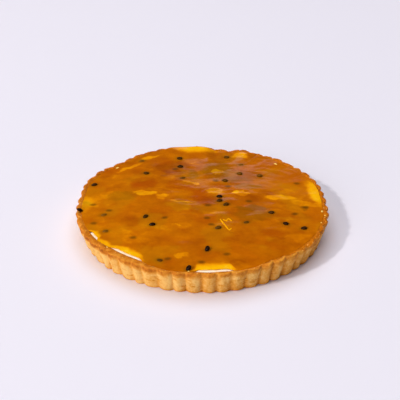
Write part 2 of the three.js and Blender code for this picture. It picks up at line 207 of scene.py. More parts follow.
@dataclass(frozen=True)
class TartForm:
    """The form of the tart, worked out from its sizes in mm."""

    rim_radius: float = 120.0
    base_radius: float = 114.5
    rim_height: float = 23.0
    wall: float = 5.8
    floor: float = 4.0
    flutes: int = 56
    flute_depth: float = 3.0
    flute_variation: float = 0.15
    flute_beat: float = 5.3
    crease_start: float = 0.92
    crease_angle: float = -90.5
    foot_rounding: float = 1.2
    shoulder: float = 2.4
    inside_rounding: float = 0.7
    corner: float = 2.0
    gap: float = 0.3
    edge_drop: float = 0.9
    edge_start: float = 0.72
    dome: float = 1.6
    depth: float = 3.0
    least: float = 0.6
    taper: float = 15.0
    ripple: float = 0.15
    rim_ease: Ease = Ease(0.3, 1.4)
    strip_ease: Ease = Ease(0.7, 1.2)
    rim_uneven: float = 0.5
    wall_uneven: float = 0.4
    foot_uneven: float = 0.3
    side_uneven: float = 0.4
    ripple_x: float = 0.09
    ripple_y: float = 0.11
    waves: tuple[Wave, ...] = (Wave(0.5, 3, 1.0), Wave(0.3, 7, 2.1), Wave(0.2, 13, 0.7))
    flute_waves: tuple[Wave, ...] = (Wave(0.007, 19, 0.0), Wave(0.005, 23, 2.0))
    thin_edges: tuple[ThinEdge, ...] = (
        ThinEdge(-85, 9, bare=3.8), ThinEdge(-127, 9, bare=3.2), ThinEdge(-138, 17),
        ThinEdge(-150.5, 4, bare=2.8), ThinEdge(-178, 11), ThinEdge(-173, 8, mound=0.8),
        ThinEdge(97, 13, mound=2.0), ThinEdge(69, 8, mound=0.5), ThinEdge(12, 15, mound=0.4),
    )
    rim_changes: tuple[RimChange, ...] = (
        RimChange(25, 15, bulge=2.1), RimChange(43, 8, bulge=1.3), RimChange(50, 8, lift=0.8),
        RimChange(68, 5, lift=1.0), RimChange(80, 8, lift=-2.0),
        RimChange(99, 12, wider=-1.6, bulge=0.5), RimChange(116, 14, lift=0.8, bulge=1.0),
        RimChange(155.5, 12.5, wider=0.3, bulge=5.2), RimChange(-178, 18, bulge=1.1),
        RimChange(-154, 13, wider=1.2, bulge=1.7, worn=1.0),
        RimChange(-128, 17, lift=0.3, wider=3.4, worn=2.0),
        RimChange(-107, 11, lift=-0.5, wider=-1.0, worn=0.8),
        RimChange(-71, 8, lift=-0.3, wider=-1.8), RimChange(-58, 7, lift=0.2, wider=1.2),
        RimChange(-38, 14, wider=0.8, bulge=1.2), RimChange(-15, 6, bulge=0.8),
        RimChange(2, 8, bulge=-0.8),
    )
    slices: tuple[Slice, ...] = (
        Slice(-52, 12, 12, 25, 10, 0.41), Slice(-18, -8, -28, 22, 11, 0.45),
        Slice(-30, 34, -16, 24, 9, 0.41), Slice(12, 58, 24, 19, 8, 0.36),
        Slice(-62, 74, 32, 24, 8, 0.36), Slice(36, 16, -8, 17, 8, 0.5),
        Slice(8, 18, 38, 12, 7, 0.45), Slice(76, 8, -18, 24, 9, 0.36),
        Slice(16, -26, 14, 21, 8, 0.36), Slice(66, -52, 22, 24, 10, 0.32),
        Slice(-24, -74, -10, 22, 9, 0.32), Slice(-76, -28, -34, 21, 9, 0.32),
        Slice(22, -70, 8, 24, 9, 0.27), Slice(70, 56, -30, 22, 9, 0.32),
    )

    def rim_change(self, angle: Numbers, key: str) -> Numbers:
        """Adds up one kind of change of the rim at each angle."""
        return sum(getattr(p, key) * p.near(angle, self.rim_ease) for p in self.rim_changes)

    def edge_change(self, angle: Numbers, key: str) -> Numbers:
        """Adds up one kind of change of the jelly's edge at each angle."""
        return sum(getattr(p, key) * p.near(angle, self.strip_ease) for p in self.thin_edges)

    def wander(self, angle: Numbers, start: float) -> Numbers:
        """Gives slow unevenness round the tart, within about one either way."""
        return sum(wave.at(angle, start) for wave in self.waves)

    def rim(self, angle: Numbers) -> Numbers:
        """Gives the height of the rim at each angle."""
        uneven = self.rim_uneven * self.wander(angle, 1.3)
        return self.rim_height + uneven + self.rim_change(angle, "lift")

    def crest(self, angle: Numbers, z: Numbers | float) -> Numbers:
        """Gives the distance of a flute's crest from the axis.

        Args:
            angle: Angles in radians.
            z: Heights in mm.

        Returns:
            Distances in mm.
        """
        share = z / self.rim_height
        slope = blend(self.base_radius, self.rim_radius, share)
        uneven = (self.foot_uneven + self.side_uneven * share) * self.wander(angle, 2.6)
        return slope + uneven + self.rim_change(angle, "bulge") * share

    def inside(self, angle: Numbers, z: Numbers | float) -> Numbers:
        """Gives the distance of the shell's inside from the axis at a height."""
        wide = self.wall + self.wall_uneven * self.wander(angle, 4.2)
        wide += self.rim_change(angle, "wider")
        return self.crest(angle, z) - blend(self.wall, wide, z / self.rim_height)

    def turn_angle(self, turn: Numbers) -> Numbers:
        """Gives the angle of a place along the flutes, where whole numbers are creases."""
        way = 2 * math.pi * turn / self.flutes
        return math.radians(self.crease_angle) + way + sum(w.at(way) for w in self.flute_waves)

    def turn_at(self, angle: Numbers) -> Numbers:
        """Gives the place along the flutes at each angle."""
        turns = np.linspace(-1, self.flutes + 1, 20 * self.flutes)
        first = math.radians(self.crease_angle)
        return np.interp(first + (angle - first) % (2 * math.pi), self.turn_angle(turns), turns)

    def flute_share(self, angle: Numbers, z: Numbers | float) -> Numbers:
        """Says how much of its full depth a flute has: less where the wall is thin."""
        wall = self.crest(angle, z) - self.inside(angle, z)
        return np.minimum(wall / self.wall, 1)

    def flute_drop(self, turn: Numbers, share: Numbers) -> Numbers:
        """Says how far the outside falls back from the crest of its flute, which is an arc.

        Args:
            turn: Places along the flutes.
            share: How much of its full depth each flute has.

        Returns:
            Distances in mm, greatest in the creases.
        """
        across = np.abs(2 * (turn % 1) - 1)
        past = np.maximum(across - self.crease_start, 0) / (1 - self.crease_start)
        across -= 0.5 * (1 - self.crease_start) * past * past
        uneven = 1 + self.flute_variation * np.sin(self.flute_beat * np.floor(turn))
        deep = share * self.flute_depth * uneven
        half = math.pi * self.rim_radius / self.flutes
        arc = (half * half + deep * deep) / (2 * deep)
        return arc - np.sqrt(arc * arc - (half * across) ** 2)

    def edge_height(self, angle: Numbers) -> Numbers:
        """Gives the height at which the filling meets the pastry."""
        return self.rim(angle) - self.edge_drop + self.edge_change(angle, "mound")

    def fill(self, angle: Numbers, z: Numbers | float | None = None) -> Numbers:
        """Gives the filling's distance from the axis, at the height of its edge if z is None."""
        height = self.edge_height(angle) if z is None else z
        return self.inside(angle, height) - self.gap

    def inwards(self, angle: Numbers, radius: Numbers) -> Numbers:
        """Says how far points lie in from the jelly's edge, in mm."""
        return self.fill(angle) - self.bare(angle) - radius

    def bare(self, angle: Numbers) -> Numbers:
        """Gives the width of the strip of cream that the jelly leaves bare."""
        return self.edge_change(angle, "bare")

    def thinness(self, angle: Numbers, radius: Numbers) -> Numbers:
        """Says how thin the jelly is: 1 at the edge of a thin place, 0 elsewhere."""
        near = np.max([p.near(angle, self.strip_ease) for p in self.thin_edges], axis=0)
        return near * (1 - smooth(self.inwards(angle, radius), 1.0, self.taper))

    def fill_height(self, angle: Numbers, radius: Numbers) -> Numbers:
        """Gives the level of the filling's top, apart from what lies in the jelly."""
        share = radius / self.fill(angle)
        domed = self.rim_height - self.edge_drop + self.dome * (1 - share * share)
        return blend(domed, self.edge_height(angle), smooth(share, self.edge_start, 1.0))

    def slice_rise(self, x: Numbers, y: Numbers) -> Numbers:
        """Says how much the slices lift the jelly at each point."""
        most = np.zeros_like(x)
        for piece in self.slices:
            out, across = piece.place(x, y)
            rise = piece.rise * (1 - smooth(out, 0.1, 1.25)) * (0.75 + 0.25 * across)
            most = np.maximum(most, rise)
        return most

    def jelly_top(self, angle: Numbers, radius: Numbers) -> Numbers:
        """Gives the height of the jelly's top."""
        x, y = radius * np.cos(angle), radius * np.sin(angle)
        ripples = self.ripple * np.sin(self.ripple_x * x) * np.cos(self.ripple_y * y)
        return self.fill_height(angle, radius) + self.slice_rise(x, y) + ripples

    def cream_top(self, angle: Numbers, radius: Numbers) -> Numbers:
        """Gives the height of the cream's top."""
        thick = blend(self.depth, self.least, self.thinness(angle, radius))
        return self.fill_height(angle, radius) - self.gap - thick


def clear_selection() -> None:
    """Leaves nothing selected, so that operators act on new pieces alone."""
    if bpy.context.object and bpy.context.object.mode != "OBJECT":
        bpy.ops.object.mode_set(mode="OBJECT")
    bpy.ops.object.select_all(action="DESELECT")


def places(piece: Object) -> Numbers:
    """Gives the vertices of a piece in mm, one a row."""
    flat = np.zeros(3 * len(piece.data.vertices))
    piece.data.vertices.foreach_get("co", flat)
    return flat.reshape(-1, 3) / MM


def put_places(piece: Object, points: Numbers) -> None:
    """Moves the vertices of a piece to points in mm, one a row."""
    piece.data.vertices.foreach_set("co", (points * MM).ravel())
    piece.data.update()


def keep_values(piece: Object, name: str, values: Numbers) -> None:
    """Stores one number for each vertex, which the piece's material reads."""
    layer = piece.data.attributes.new(name, "FLOAT", "POINT")
    layer.data.foreach_set("value", values.astype(np.float32))


def dress(piece: Object, material: Material, way: Shading = Shading.SMOOTH) -> None:
    """Shades a piece's faces and gives it its material.

    Args:
        piece: The piece.
        material: Its material.
        way: How its faces are shaded.
    """
    clear_selection()
    piece.select_set(True)
    bpy.context.view_layer.objects.active = piece
    getattr(bpy.ops.object, way.value)()
    piece.data.materials.append(material)


def copied(pattern: Object, place: Vector, turn: Sequence[float], size: Sequence[float] = (1, 1, 1),
           **values: float) -> Object:
    """Copies a pattern, with its own mesh.

    Args:
        pattern: The object to copy.
        place: Where the copy lies, in metres.
        turn: How it is turned, in radians.
        size: How it is scaled.
        values: Numbers that its material reads, the same for all its vertices.

    Returns:
        The copy.
    """
    copy = pattern.copy()
    copy.data = pattern.data.copy()
    bpy.context.collection.objects.link(copy)
    copy.location, copy.rotation_euler, copy.scale = place, turn, size
    for name, value in values.items():
        keep_values(copy, name, np.full(len(copy.data.vertices), value))
    return copy


def join(copies: Sequence[Object], name: str) -> Object:
    """Joins copies into one piece at the origin, unturned and unscaled.

    Args:
        copies: The objects to join.
        name: The name of the joined piece.

    Returns:
        The joined object.
    """
    clear_selection()
    for copy in copies:
        copy.select_set(True)
    bpy.context.view_layer.objects.active = copies[0]
    bpy.ops.object.join()
    whole = bpy.context.object
    bpy.ops.object.transform_apply(location=True, rotation=True, scale=True)
    whole.name = name
    return whole


def seen_point(name: str, x: float, y: float) -> Vector | None:
    """Gives the point of a piece that is seen from straight above a place in mm, or None."""
    hit = bpy.data.objects[name].ray_cast(Vector((x, y, ABOVE)) * MM, Vector((0, 0, -1)))
    return hit[1] if hit[0] else None


@dataclass(frozen=True)
class LatheSkin:
    """A closed skin in mm: its rings, and the points that close the first and the last one.

    It is made as a tube, with a step between rings and a radius in metres, then put in shape.
    """

    name: str
    rings: list[Numbers]
    first: tuple[float, float, float]
    last: tuple[float, float, float]
    step: float = 0.001
    radius: float = 0.1

    def build(self) -> Object:
        """Extrudes a ring into a tube, closes both ends to a point and puts it in shape.

        Returns:
            The finished object, with outward normals.
        """
        clear_selection()
        bpy.ops.mesh.primitive_circle_add(vertices=len(self.rings[0]), radius=self.radius)
        skin = bpy.context.object
        skin.name = self.name
        bpy.ops.object.mode_set(mode="EDIT")
        bpy.ops.mesh.select_all(action="SELECT")
        for _ in self.rings:
            bpy.ops.mesh.extrude_region_move(TRANSFORM_OT_translate={"value": (0, 0, self.step)})
        bpy.ops.mesh.merge(type="CENTER")
        bpy.ops.mesh.select_all(action="DESELECT")
        bpy.ops.object.mode_set(mode="OBJECT")
        for vertex in skin.data.vertices:
            vertex.select = vertex.co.z < 0.5 * self.step
        bpy.ops.object.mode_set(mode="EDIT")
        bpy.ops.mesh.select_mode(type="VERT")
        bpy.ops.mesh.extrude_region_move(TRANSFORM_OT_translate={"value": (0, 0, -self.step)})
        bpy.ops.mesh.merge(type="CENTER")
        bpy.ops.object.mode_set(mode="OBJECT")
        self._place(skin)
        bpy.ops.object.mode_set(mode="EDIT")
        bpy.ops.mesh.select_all(action="SELECT")
        bpy.ops.mesh.normals_make_consistent(inside=False)
        bpy.ops.object.mode_set(mode="OBJECT")
        return skin

    def _place(self, skin: Object) -> None:
        """Moves each vertex of the tube to the place of its ring and column."""
        points = np.array(self.rings)
        tube = places(skin) * MM
        angle, radius = polar(tube)
        row = np.rint(tube[:, 2] / self.step).astype(int)
        column = np.rint(angle / (2 * math.pi) * points.shape[1]).astype(int) % points.shape[1]
        placed = points[np.clip(row, 0, len(points) - 1), column]
        middle = radius < 0.5 * self.radius
        placed[middle & (row < 0)] = self.first
        placed[middle & (row > 0)] = self.last
        put_places(skin, placed)


class NodeTree:
    """A tree of shader nodes, with short calls to add and link them."""

    def __init__(self, tree: bpy.types.NodeTree) -> None:
        """Takes the tree that the nodes go in."""
        self.nodes, self.links = tree.nodes, tree.links

    def put(self, target: Socket, value: Socket | float | Sequence[float]) -> None:
        """Links a node's input to an output or sets it."""
        if isinstance(value, Socket):
            self.links.new(value, target)
        else:
            target.default_value = value

    def add(self, kind: str, inputs: dict[str | int, Any] | None = None,
            **settings: str) -> bpy.types.Node:
        """Adds a node.

        Args:
            kind: The kind of node.
            inputs: What its inputs are linked or set to.
            settings: Its other settings.

        Returns:
            The node.
        """
        node = self.nodes.new("ShaderNode" + kind)
        for key, setting in settings.items():
            setattr(node, key, setting)
        for key, value in (inputs or {}).items():
            self.put(node.inputs[key], value)
        return node

    def ramp(self, source: Socket, *stops: tuple[float, Colour]) -> Socket:
        """Turns a pattern into colours.

        Args:
            source: The pattern.
            stops: Places from 0 to 1 and their colours.

        Returns:
            The colour.
        """
        node = self.add("ValToRGB", {"Fac": source})
        elements = node.color_ramp.elements
        while len(elements) < len(stops):
            elements.new(0.5)
        for element, (place, colour) in zip(elements, stops):
            element.position, element.color = place, colour
        return node.outputs["Color"]

    def mixed(self, share: Socket, low: Socket | Colour, high: Socket | Colour) -> Socket:
        """Mixes two colours, with a share of the second."""
        return self.add("Mix", {"Factor": share, 6: low, 7: high}, data_type="RGBA").outputs[2]


class NodeSheet(NodeTree):
    """A material's nodes, whose patterns lie on the object's own coordinates."""

    def __init__(self, name: str) -> None:
        """Starts a material with a principled shader."""
        self.material = bpy.data.materials.new(name)
        self.material.use_nodes = True
        super().__init__(self.material.node_tree)
        self.place = self.add("TexCoord").outputs["Object"]

    def value(self, name: str) -> Socket:
        """Reads the values stored under a name for each vertex."""
        return self.add("Attribute", attribute_name=name).outputs["Fac"]

    def grain(self, size: float, detail: float, roughness: float = 0.5,
              stretch: float = 1.0) -> Socket:
        """Adds a noise pattern.

        Args:
            size: The size of its features in mm.
            detail: How many finer layers it has.
            roughness: How strong the finer layers are.
            stretch: Under 1 it makes the features longer along x.

        Returns:
            The pattern, about 0.5 on average.
        """
        scaled = self.add("Mapping", {"Vector": self.place, "Scale": (stretch, 1, 1)})
        inputs = {"Scale": 1 / (size * MM), "Detail": detail, "Roughness": roughness}
        return self.add("TexNoise", {"Vector": scaled.outputs["Vector"], **inputs}).outputs["Fac"]

    def sums(self, first: Socket, second: Socket, by: float) -> Socket:
        """Adds a share of a second pattern, less half that share, to the first."""
        scaled = self.add("Math", {0: second, 1: by, 2: -0.5 * by}, operation="MULTIPLY_ADD")
        return self.add("Math", {0: first, 1: scaled.outputs[0]}, operation="ADD").outputs[0]

    def ranged(self, source: Socket, low: float, high: float) -> Socket:
        """Maps a pattern from 0..1 to low..high."""
        inputs = {"Value": source, "To Min": low, "To Max": high}
        return self.add("MapRange", inputs).outputs["Result"]

    def bump(self, source: Socket, height: float, strength: float) -> Socket:
        """Roughens the surface's shading by a pattern, whose full step is a height in mm."""
        inputs = {"Strength": strength, "Distance": height * MM, "Height": source}
        return self.add("Bump", inputs).outputs["Normal"]

    def done(self, colour: Socket | Colour, rough_by: Socket | float, normal: Socket | None = None,
             **others: float) -> Material:
        """Sets the shader.

        Args:
            colour: Its base colour.
            rough_by: Its roughness.
            normal: Its normal, or None for the surface's own.
            others: Its other inputs, with underscores for spaces.

        Returns:
            The finished material.
        """
        inputs = self.nodes["Principled BSDF"].inputs
        self.put(inputs["Base Color"], colour)
        self.put(inputs["Roughness"], rough_by)
        for key, value in others.items():
            self.put(inputs[key.replace("_", " ")], value)
        if normal is not None:
            self.put(inputs["Normal"], normal)
        return self.material


@dataclass(frozen=True)
class PastryFinish:
    """Golden baked pastry with browner rim and specks, painted shade in creases and painted light
    on one side; glossy where soaked.
    """

    pale: Colour = linear(252, 202, 116)
    golden: Colour = linear(236, 160, 56)
    brown: Colour = linear(210, 120, 28)
    dark: Colour = linear(146, 72, 14)
    soaked: Colour = linear(214, 118, 6)
    soaked_dark: Colour = linear(150, 74, 8)

    def material(self) -> Material:
        """Makes the pastry's material."""
        sheet = NodeSheet("pastry")
        toast = sheet.sums(sheet.value("toast"), sheet.grain(6.0, 3.0), 0.4)
        toast = sheet.sums(toast, sheet.grain(2.2, 4.0, 0.65), 0.7)
        stops = ((0.05, self.pale), (0.35, self.golden), (0.66, self.brown), (1.0, self.dark))
        wet = sheet.ramp(sheet.grain(4.0, 4.0, 0.6), (0.35, self.soaked), (0.75, self.soaked_dark))
        colour = sheet.mixed(sheet.value("soaked"), sheet.ramp(toast, *stops), wet)
        gloss = sheet.ranged(sheet.value("soaked"), 0.75, 0.2)
        bump = sheet.bump(sheet.grain(1.6, 5.0, 0.7), 1.0, 0.8)
        return sheet.done(colour, gloss, bump, Specular_IOR_Level=0.15)


@dataclass(frozen=True)
class CreamFinish:
    """Soft white cream, warmer in places at random and glazed at the back."""

    white: Colour = linear(255, 244, 226)
    warm: Colour = linear(255, 222, 160)
    glazed: Colour = linear(240, 158, 20)

    def material(self) -> Material:
        """Makes the cream's material."""
        sheet = NodeSheet("cream")
        tone = sheet.sums(sheet.value("warmth"), sheet.grain(4.0, 2.0), 0.3)
        cream = sheet.ramp(tone, (0.1, self.white), (0.9, self.warm))
        colour = sheet.mixed(sheet.value("glaze"), cream, self.glazed)
        gloss = sheet.ranged(sheet.value("glaze"), 0.45, 0.2)
        return sheet.done(colour, gloss, sheet.bump(sheet.grain(1.6, 3.0), 0.3, 0.4))


@dataclass(frozen=True)
class JellyFinish:
    """Orange jelly, coloured by how much of it lies over the cream."""

    film: Colour = linear(255, 222, 120)
    yellow: Colour = linear(255, 190, 6)
    light: Colour = linear(244, 156, 2)
    amber: Colour = linear(203, 113, 0)
    deep: Colour = linear(174, 87, 0)
    brown: Colour = linear(148, 66, 0)
    red: Colour = linear(186, 78, 2)
    mustard: Colour = linear(198, 130, 4)
    olive: Colour = linear(146, 98, 2)
    sunk: Colour = linear(78, 54, 6)
    stops: tuple[float, ...] = (0.0, 0.12, 0.32, 0.52, 0.76, 1.0)

    def material(self) -> Material:
        """Makes the jelly's material."""
        sheet = NodeSheet("jelly")
        tone = sheet.sums(sheet.value("tone"), sheet.grain(11.0, 4.0, 0.6), 0.3)
        tone = sheet.sums(tone, sheet.grain(3.0, 3.0, 0.6), 0.14)
        tones = (self.film, self.yellow, self.light, self.amber, self.deep, self.brown)
        colour = sheet.ramp(tone, *zip(self.stops, tones))
        for name in ("red", "mustard", "olive", "sunk"):
            colour = sheet.mixed(sheet.value(name), colour, getattr(self, name))
        bump = sheet.bump(sheet.grain(6.0, 2.0, stretch=0.45), 0.6, 0.17)
        return sheet.done(colour, 0.07, bump, IOR=1.38)


@dataclass(frozen=True)
class SeedFinish:
    """Nearly black, wet passion fruit seeds, browner where jelly covers them."""

    black: Colour = linear(20, 9, 4)
    brown: Colour = linear(60, 32, 12)
    covered: Colour = linear(132, 82, 6)

    def material(self) -> Material:
        """Makes the seeds' material."""
        sheet = NodeSheet("seed")
        bare = sheet.ramp(sheet.grain(1.5, 2.0), (0.35, self.black), (0.8, self.brown))
        colour = sheet.mixed(sheet.value("film"), bare, self.covered)
        bump = sheet.bump(sheet.grain(0.5, 2.0), 0.15, 0.5)
        return sheet.done(colour, 0.35, bump, Specular_IOR_Level=0.12)


@dataclass
class PastryShell:
    """The fluted shell of baked pastry."""

    form: TartForm
    finish: PastryFinish = field(default_factory=PastryFinish)
    columns_per_flute: int = 13
    side_rings: int = 34
    shoulder_rings: int = 9
    foot_insets: tuple[float, ...] = (60.0, 20.0, 5.0)
    foot_fluted: float = 0.85
    top_inset: float = 2.0
    top_fluted: float = 0.85
    lip_arch: float = 0.25
    crumb: float = 0.24
    crumb_size: float = 2.2
    dent: float = 0.4
    dent_size: float = 7.0
    lump: float = 0.34
    lump_size: float = 5.0
    cracks: int = 90
    crack_seed: int = 3
    crack_depth: float = 0.5
    sides: Ease = Ease(0.4, 1.0)
    # Painted light: on the left, where the lamps fall, the pastry is drawn paler.
    lit_side: RimChange = RimChange(-150, 60)
    light_rim: RimChange = RimChange(-40, 75)
    # Painted shade: the shaded sides at the right front are drawn a little browner.
    shaded_right_side: RimChange = RimChange(-20, 50)
    dry_band: float = 2.2
    dry_ease: Ease = Ease(0.5, 1.2)
    dry_bands: tuple[RimChange, ...] = (
        RimChange(-78, 36, wider=1.4),
        RimChange(-128, 20, wider=2.2),
        RimChange(-8, 44, wider=-1.4),
        RimChange(100, 40, wider=-0.6),
    )

    def build(self) -> Object:
        """Builds, dresses and registers the shell.

        Returns:
            The shell's object.
        """
        form = self.form
        turns = np.arange(form.flutes * self.columns_per_flute) / self.columns_per_flute
        rings = self._outside(turns) + self._inside(turns)
        shell = LatheSkin("Pastry_shell", rings, (0, 0, 0), (0, 0, form.floor)).build()
        self._roughen(shell)
        self._toast(shell)
        dress(shell, self.finish.material())
        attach(shell, BODY)
        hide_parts("pastry_shell")
        return shell

    def _ring(self, turns: Numbers, inset: float, z: Numbers | float, fluted: float) -> Numbers:
        """Gives one ring of the outside.

        Args:
            turns: Places along the flutes.
            inset: How far the ring lies in from the crests.
            z: The ring's heights in mm.
            fluted: How much of the flutes' depth it shows.

        Returns:
            The ring's points.
        """
        angle = self.form.turn_angle(turns)
        share = self.form.flute_share(angle, z)
        drop = inset * share + fluted * self.form.flute_drop(turns, share)
        return ring(angle, self.form.crest(angle, z) - drop, z)

    def _outside(self, turns: Numbers) -> list[Numbers]:
        """Gives the rings from the underside up the flutes to the top of the rim."""
        form = self.form
        angle = form.turn_angle(turns)
        rim = form.rim(angle)
        rings = [self._ring(turns, inset, 0.0, self.foot_fluted) for inset in self.foot_insets]
        for bend in np.linspace(0, math.pi / 2, 5):
            inset = form.foot_rounding * (1 - math.sin(bend))
            z = form.foot_rounding * (1 - math.cos(bend))
            fluted = blend(self.foot_fluted, 1.0, math.sin(bend))
            rings.append(self._ring(turns, inset, z, fluted))
        top = rim - form.shoulder - form.rim_change(angle, "worn")
        for share in np.linspace(0, 1, self.side_rings)[1:-1]:
            rings.append(self._ring(turns, 0.0, blend(form.foot_rounding, top, share), 1.0))
        for bend in np.linspace(0, math.pi / 2, self.shoulder_rings):
            inset = self.top_inset * (1 - math.cos(bend))
            fluted = blend(1.0, self.top_fluted, (1 - math.cos(bend)) ** 1.3)
            rings.append(self._ring(turns, inset, blend(top, rim, math.sin(bend)), fluted))
        return rings

    def _inside(self, turns: Numbers) -> list[Numbers]:
        """Gives the rings from the top of the rim down the inside to the floor."""
        form = self.form
        angle = form.turn_angle(turns)
        rim = form.rim(angle)
        lip = rim - form.inside_rounding
        crest = self._ring(turns, self.top_inset, rim, self.top_fluted)
        inner = ring(angle, form.inside(angle, lip), lip)
        rings = []
        for share in (0.2, 0.4, 0.6, 0.8, 0.93):
            arched = blend(crest, inner, share)
            arched[:, 2] += self.lip_arch * math.sin(math.pi * share)
            rings.append(arched)
        rings.append(inner)
        for share in (0.1, 0.3, 1):
            z = blend(lip, form.floor + form.corner, share)
            rings.append(ring(angle, form.inside(angle, z), z))
        for inset in (form.corner, 40.0, 90.0):
            rings.append(ring(angle, form.inside(angle, form.floor) - inset, form.floor))
        return rings

    def _roughen(self, shell: Object) -> None:
        """Presses crumbs and dents into the baked surface, above the flat underside."""
        points = places(shell)
        _, radius = polar(points)
        out = points[:, :2] / np.maximum(radius, 1)[:, None]
        fine = self.crumb * rough(points, self.crumb_size, 2, 3.1)
        broad = self.dent * rough(points, self.dent_size, 3, 7.4)
        free = smooth(points[:, 2], 0.2, 1.6) * smooth(radius, 100.0, 110.0)
        push = free * (np.minimum(fine + broad, 0.25) - 0.5)
        push -= self.crack_depth * self._cracks(points)
        points[:, :2] += out * push[:, None]
        top = smooth(points[:, 2], 18.5, 21.5) * free
        points[:, 2] += top * (0.8 * push + self.lump * rough(points, self.lump_size, 2, 21.0))
        put_places(shell, points)

    def _cracks(self, points: Numbers) -> Numbers:
        """Draws short level cracks across some of the flutes.

        Args:
            points: The shell's vertices in mm.

        Returns:
            How deep each vertex lies in a crack, from 0 to 1.
        """
        draw = random.Random(self.crack_seed)
        angle, radius = polar(points)
        height = points[:, 2] + 0.5 * rough(points, 3.0, 2, 41.0)
        strength = np.zeros(len(points))
        for _ in range(self.cracks):
            middle, z = draw.uniform(-math.pi, math.pi), draw.uniform(6.0, 15.0)
            half = draw.uniform(1.5, 4.0)
            away = (angle - middle + math.pi) % (2 * math.pi) - math.pi
            along = 1 - smooth(np.abs(away) * self.form.rim_radius, 0.5 * half, half)
            strength = np.maximum(strength, along * (1 - smooth(np.abs(height - z), 0.1, 0.7)))
        return smooth(radius, 108.0, 111.0) * strength

    def _toast(self, shell: Object) -> None:
        """Stores how brown the pastry is, with painted shade and painted light mixed in, and how
        soaked with jelly it is, at each vertex.
        """
        form = self.form
        points = places(shell)
        angle, radius = polar(points)
        height = points[:, 2] / form.rim(angle)
        crest = form.crest(angle, points[:, 2])
        rim = smooth(height + 0.12 * rough(points, 6.0, 2, 17.0), 0.68, 0.96)
        drop = form.flute_drop(form.turn_at(angle), form.flute_share(angle, points[:, 2]))
        # Painted shade: the creases between the flutes are drawn browner.
        crease = smooth(crest - radius, 1.5, 3.2) * (1 - smooth(height, 0.88, 0.97))
        # Painted shade: a brown arch at the top of each flute, under the rim's lip, stronger on the
        # lit left side.
        arc = (1 - smooth(drop, 0.6, 2.2)) * smooth(height, 0.72, 0.88)
        arc *= 1 - smooth(height, 0.92, 1.0)
        foot = 1 - smooth(height, 0.02, 0.1)
        # golden marks the shaded right side, drawn browner low down as painted shade.
        sides = (self.lit_side, self.light_rim, self.shaded_right_side)
        left, right, golden = (side.near(angle, self.sides) for side in sides)
        toast = 0.2 + 0.15 * crease + (0.08 + 0.16 * left) * arc + 0.26 * foot
        # Painted shade: the cracks are drawn darker; the last term is random browning.
        toast += 0.3 * self._cracks(points) + 0.14 * rough(points, 16.0, 2, 1.9)
        # Painted light: the lit left side, left, is drawn paler on the rim and on the sides.
        toast += (0.42 - 0.14 * right - 0.1 * left) * rim + (0.06 * golden - 0.1 * left) * (1 - rim)
        keep_values(shell, "toast", np.clip(toast, 0, 1))
        band = sum(place.wider * place.near(angle, self.dry_ease) for place in self.dry_bands)
        inwards = crest - drop - radius - self.dry_band - band + 1.1 * rough(points, 5.0, 3, 29.0)
        soaked = (0.9 - 0.4 * left) * smooth(inwards, -0.4, 0.9) * smooth(points[:, 2], 17.0, 20.0)
        keep_values(shell, "soaked", soaked)


@dataclass
class CreamFilling:
    """The white cream between shell and jelly."""

    form: TartForm
    finish: CreamFinish = field(default_factory=CreamFinish)
    columns: int = 420
    shares: tuple[float, ...] = (
        1, 0.996, 0.99, 0.982, 0.974, 0.966, 0.958, 0.95, 0.94, 0.92, 0.88, 0.8, 0.5,
    )
    swell: float = 0.12
    glazed: RimChange = RimChange(97, 50)

    def build(self) -> Object:
        """Builds, dresses and registers the cream.

        Returns:
            The cream's object.
        """
        form = self.form
        angle = 2 * math.pi * np.arange(self.columns) / self.columns
        floor = form.floor + form.gap
        bend = floor + form.corner
        rings = [
            ring(angle, form.fill(angle, floor) - form.corner, floor),
            ring(angle, form.fill(angle, bend), bend),
        ]
        edge = form.fill(angle, form.cream_top(angle, form.fill(angle)))
        for share in self.shares:
            rings.append(ring(angle, share * edge, form.cream_top(angle, share * edge)))
        top = form.cream_top(np.zeros(1), np.zeros(1))[0]
        cream = LatheSkin("Cream_filling", rings, (0, 0, floor), (0, 0, top)).build()
        points = places(cream)
        points[:, 2] += smooth(points[:, 2], 15.0, 18.0) * self.swell * rough(points, 5.0, 2, 5.5)
        put_places(cream, points)
        keep_values(cream, "warmth", 0.3 + 0.3 * rough(points, 9.0, 2, 8.2))
        keep_values(cream, "glaze", self.glazed.near(polar(points)[0], Ease(0.8, 1.0)))
        dress(cream, self.finish.material())
        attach(cream, BODY)
        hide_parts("cream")
        return cream


@dataclass(frozen=True)
class Seed:
    """A passion fruit seed: middle in mm, turn in degrees and how much jelly covers it."""

    x: float
    y: float
    turn: float
    film: float = 0.0

    def around(self, length: float, width: float, edge: float) -> Patch:
        """Gives a field round the seed, whose half sizes are in mm."""
        return Patch(self.x, self.y, self.turn, length, width, edge=edge)


@dataclass(frozen=True)
class SeedGroup:
    """Seeds that lie alike: mm above the jelly and how steep their long side is in degrees."""

    proud: float
    tilt: float
    seeds: tuple[Seed, ...]


